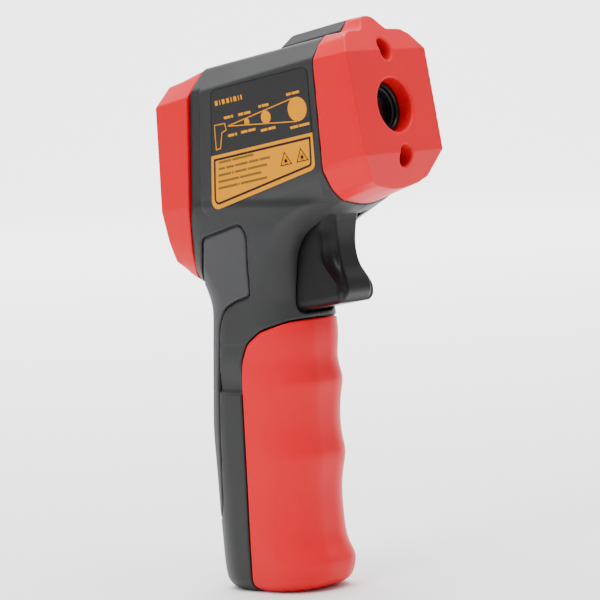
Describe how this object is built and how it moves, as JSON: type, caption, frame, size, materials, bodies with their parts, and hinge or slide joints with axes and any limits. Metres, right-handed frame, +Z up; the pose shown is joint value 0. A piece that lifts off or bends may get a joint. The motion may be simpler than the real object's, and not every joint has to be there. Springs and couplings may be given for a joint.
{
  "type": "infrared thermometer",
  "caption": "Pistol-grip infrared thermometer with twin aiming lasers, sensor recess, sprung trigger, rear display and keys, and a hinged battery door in the grip.",
  "frame": {"origin": "below the middle of the overall length and width, on the plane of the grip's flat base", "axes": "+X towards the nose, +Y to the device's left, +Z up along the grip; the optical axis rises 9 degrees towards the nose"},
  "size_m": [0.0896, 0.0438, 0.1916],
  "materials": {
    "red_plastic": "satin moulded",
    "black_plastic": "fine matt texture",
    "trigger_plastic": "satin moulded",
    "grey_rubber": "soft matt",
    "dark_part": "matt",
    "clear_window": "polished tinted window",
    "lcd_glass": "polished",
    "circuit_board": "solder mask",
    "steel": "plain",
    "brass": "turned",
    "lens": "polished moulded Fresnel lens",
    "battery_jacket": "satin jacket",
    "label_film": "printed polyester film",
    "red_wire": "insulation",
    "black_wire": "insulation"
  },
  "bodies": {
    "housing": {"battery": "battery_jacket", "battery_lead_black": "black_wire", "battery_lead_red": "red_wire", "battery_snap": "dark_part", "buzzer": "dark_part", "display_board": "circuit_board", "display_window": "clear_window", "door_hinge_pin": "steel", "front_bezel": "red_plastic", "grip_inlay": "grey_rubber", "housing_left": "black_plastic", "housing_right": "black_plastic", "ir_lens": "lens", "keypad_mat": "grey_rubber", "label_left": "label_film", "label_right": "label_film", "laser_carrier": "dark_part", "laser_lower": "brass", "laser_upper": "brass", "lcd_module": "lcd_glass", "lens_ring": "dark_part", "main_board": "circuit_board", "processor": "dark_part", "rear_bezel": "red_plastic", "screw_base": "steel", "screw_front_lower": "steel", "screw_front_upper": "steel", "screw_neck_lower": "steel", "screw_neck_upper": "steel", "screw_rear_upper": "steel", "sensor_barrel": "dark_part", "sensor_board": "circuit_board", "switch_board": "circuit_board", "thermopile": "steel", "trigger_pin": "steel", "trigger_spring": "steel", "trigger_switch": "dark_part"},
    "trigger": {"trigger": "trigger_plastic"},
    "plunger": {"switch_plunger": "red_plastic"},
    "door": {"battery_door": "red_plastic"},
    "key_right": {"key_right": "grey_rubber"},
    "key_centre": {"key_centre": "grey_rubber"},
    "key_left": {"key_left": "grey_rubber"}
  },
  "joints": [
    {"name": "trigger_pull", "type": "hinge", "parent": "housing", "child": "trigger", "pos_m": [0.01596, 0, 0.12999], "axis": [0, 1, 0], "range_deg": [0, 7], "stiffness_Nm_per_rad": 0.6, "springref_deg": -4.58},
    {"name": "plunger_slide", "type": "slide", "parent": "housing", "child": "plunger", "axis": [-0.9877, 0, -0.1564], "range_m": [0, 0.0024]},
    {"name": "door_hinge", "type": "hinge", "parent": "housing", "child": "door", "pos_m": [-0.01112, 0, 0.004], "axis": [0, 1, 0], "range_deg": [0, 60]},
    {"name": "key_right_press", "type": "slide", "parent": "housing", "child": "key_right", "axis": [1, 0, 0], "range_m": [0, 0.0008], "stiffness_N_per_m": 1000, "springref_m": -0.0003},
    {"name": "key_centre_press", "type": "slide", "parent": "housing", "child": "key_centre", "axis": [1, 0, 0], "range_m": [0, 0.0008], "stiffness_N_per_m": 1000, "springref_m": -0.0003},
    {"name": "key_left_press", "type": "slide", "parent": "housing", "child": "key_left", "axis": [1, 0, 0], "range_m": [0, 0.0008], "stiffness_N_per_m": 1000, "springref_m": -0.0003}
  ],
  "couplings": [
    {"joint": "plunger_slide", "follows": "trigger_pull", "m_per_rad": 0.019}
  ]
}
